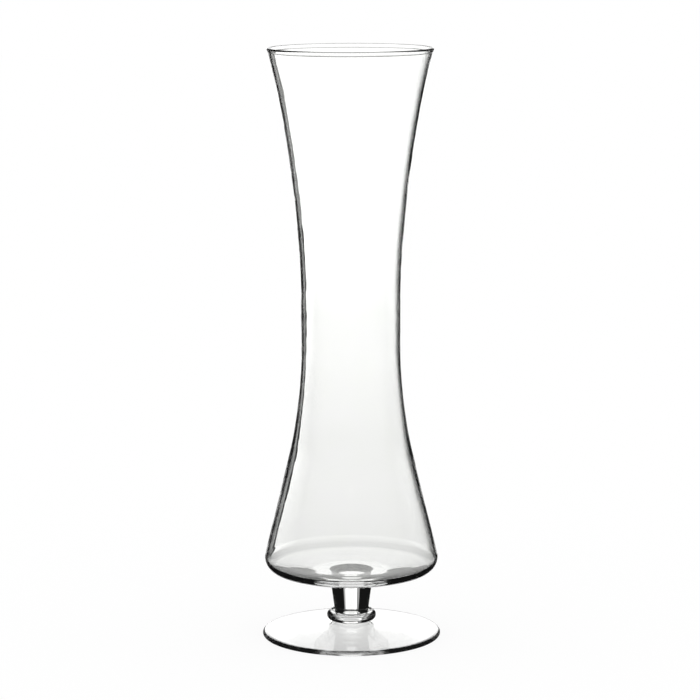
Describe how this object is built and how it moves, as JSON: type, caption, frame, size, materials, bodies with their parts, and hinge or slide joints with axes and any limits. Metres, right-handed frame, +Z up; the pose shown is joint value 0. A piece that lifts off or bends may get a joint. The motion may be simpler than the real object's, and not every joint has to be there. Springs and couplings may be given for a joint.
{
  "type": "footed glass vase",
  "caption": "Tall clear glass vase with a drawn-in waist and flared mouth, on a short solid stem, a rounded collar and a round foot, for growing a bulb over water or for cut flowers.",
  "frame": {"origin": "centre of the foot's resting plane", "axes": "+Z up along the vase's axis of revolution; X and Y are any two level directions"},
  "size_m": [0.1062, 0.1062, 0.35],
  "materials": {
    "clear_glass": "polished"
  },
  "bodies": {
    "root": {"bowl": "clear_glass", "stem": "clear_glass", "collar": "clear_glass", "foot": "clear_glass"}
  },
  "joints": []
}
